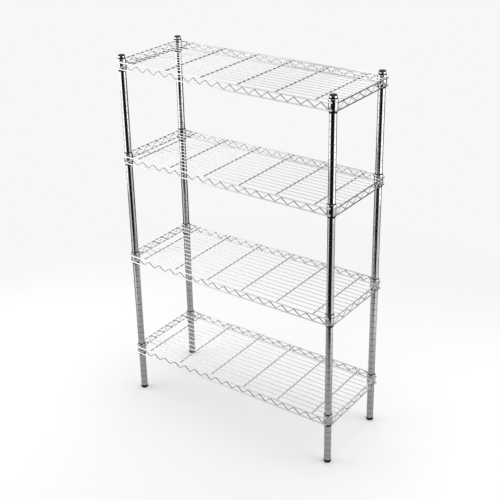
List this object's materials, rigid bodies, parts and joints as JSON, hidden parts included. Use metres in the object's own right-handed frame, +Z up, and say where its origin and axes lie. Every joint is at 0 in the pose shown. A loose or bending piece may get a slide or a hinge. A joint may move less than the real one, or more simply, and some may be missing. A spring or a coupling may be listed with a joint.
{
  "type": "wire shelving unit",
  "caption": "Free-standing chromed wire shelving: grooved tube posts, and welded wire shelves whose corner collars wedge on split sleeves.",
  "frame": {"origin": "on the floor, midway between the four posts", "axes": "+Z up along the posts, +X along the shelves, -Y towards the front"},
  "size_m": [0.9144, 0.3556, 1.3856],
  "materials": {
    "post_chrome": "polished chrome plate on steel tube",
    "collar_chrome": "polished chrome plate",
    "wire_chrome": "bright chrome plate on drawn wire",
    "black_sleeve": "moulded, satin",
    "black_cap": "moulded, satin",
    "black_foot": "moulded, satin",
    "black_nylon": "moulded nylon",
    "zinc_steel": "zinc-plated stud"
  },
  "bodies": {
    "frame": {"post_front_left": "post_chrome", "post_front_right": "post_chrome", "post_back_left": "post_chrome", "post_back_right": "post_chrome", "cap_front_left": "black_cap", "cap_front_right": "black_cap", "cap_back_left": "black_cap", "cap_back_right": "black_cap", "insert_front_left": "black_nylon", "insert_front_right": "black_nylon", "insert_back_left": "black_nylon", "insert_back_right": "black_nylon", "sleeve_1_front_left": "black_sleeve", "sleeve_1_front_right": "black_sleeve", "sleeve_1_back_left": "black_sleeve", "sleeve_1_back_right": "black_sleeve", "sleeve_2_front_left": "black_sleeve", "sleeve_2_front_right": "black_sleeve", "sleeve_2_back_left": "black_sleeve", "sleeve_2_back_right": "black_sleeve", "sleeve_3_front_left": "black_sleeve", "sleeve_3_front_right": "black_sleeve", "sleeve_3_back_left": "black_sleeve", "sleeve_3_back_right": "black_sleeve", "sleeve_4_front_left": "black_sleeve", "sleeve_4_front_right": "black_sleeve", "sleeve_4_back_left": "black_sleeve", "sleeve_4_back_right": "black_sleeve"},
    "shelf_1": {"shelf_1_collars": "collar_chrome", "shelf_1_rails": "wire_chrome", "shelf_1_trusses": "wire_chrome", "shelf_1_cross_wires": "wire_chrome", "shelf_1_deck_wires": "wire_chrome"},
    "shelf_2": {"shelf_2_collars": "collar_chrome", "shelf_2_rails": "wire_chrome", "shelf_2_trusses": "wire_chrome", "shelf_2_cross_wires": "wire_chrome", "shelf_2_deck_wires": "wire_chrome"},
    "shelf_3": {"shelf_3_collars": "collar_chrome", "shelf_3_rails": "wire_chrome", "shelf_3_trusses": "wire_chrome", "shelf_3_cross_wires": "wire_chrome", "shelf_3_deck_wires": "wire_chrome"},
    "shelf_4": {"shelf_4_collars": "collar_chrome", "shelf_4_rails": "wire_chrome", "shelf_4_trusses": "wire_chrome", "shelf_4_cross_wires": "wire_chrome", "shelf_4_deck_wires": "wire_chrome"},
    "leveller_front_left": {"foot_front_left": "black_foot", "stud_front_left": "zinc_steel"},
    "leveller_front_right": {"foot_front_right": "black_foot", "stud_front_right": "zinc_steel"},
    "leveller_back_left": {"foot_back_left": "black_foot", "stud_back_left": "zinc_steel"},
    "leveller_back_right": {"foot_back_right": "black_foot", "stud_back_right": "zinc_steel"}
  },
  "joints": [
    {"name": "shelf_1_lift", "type": "slide", "parent": "frame", "child": "shelf_1", "axis": [0, 0, 1], "range_m": [0, 0.357]},
    {"name": "shelf_2_lift", "type": "slide", "parent": "frame", "child": "shelf_2", "axis": [0, 0, 1], "range_m": [0, 0.357]},
    {"name": "shelf_3_lift", "type": "slide", "parent": "frame", "child": "shelf_3", "axis": [0, 0, 1], "range_m": [0, 0.306]},
    {"name": "shelf_4_lift", "type": "slide", "parent": "frame", "child": "shelf_4", "axis": [0, 0, 1], "range_m": [0, 0.08]},
    {"name": "leveller_front_left_screw", "type": "slide", "parent": "frame", "child": "leveller_front_left", "axis": [0, 0, -1], "range_m": [0, 0.012]},
    {"name": "leveller_front_right_screw", "type": "slide", "parent": "frame", "child": "leveller_front_right", "axis": [0, 0, -1], "range_m": [0, 0.012]},
    {"name": "leveller_back_left_screw", "type": "slide", "parent": "frame", "child": "leveller_back_left", "axis": [0, 0, -1], "range_m": [0, 0.012]},
    {"name": "leveller_back_right_screw", "type": "slide", "parent": "frame", "child": "leveller_back_right", "axis": [0, 0, -1], "range_m": [0, 0.012]}
  ]
}
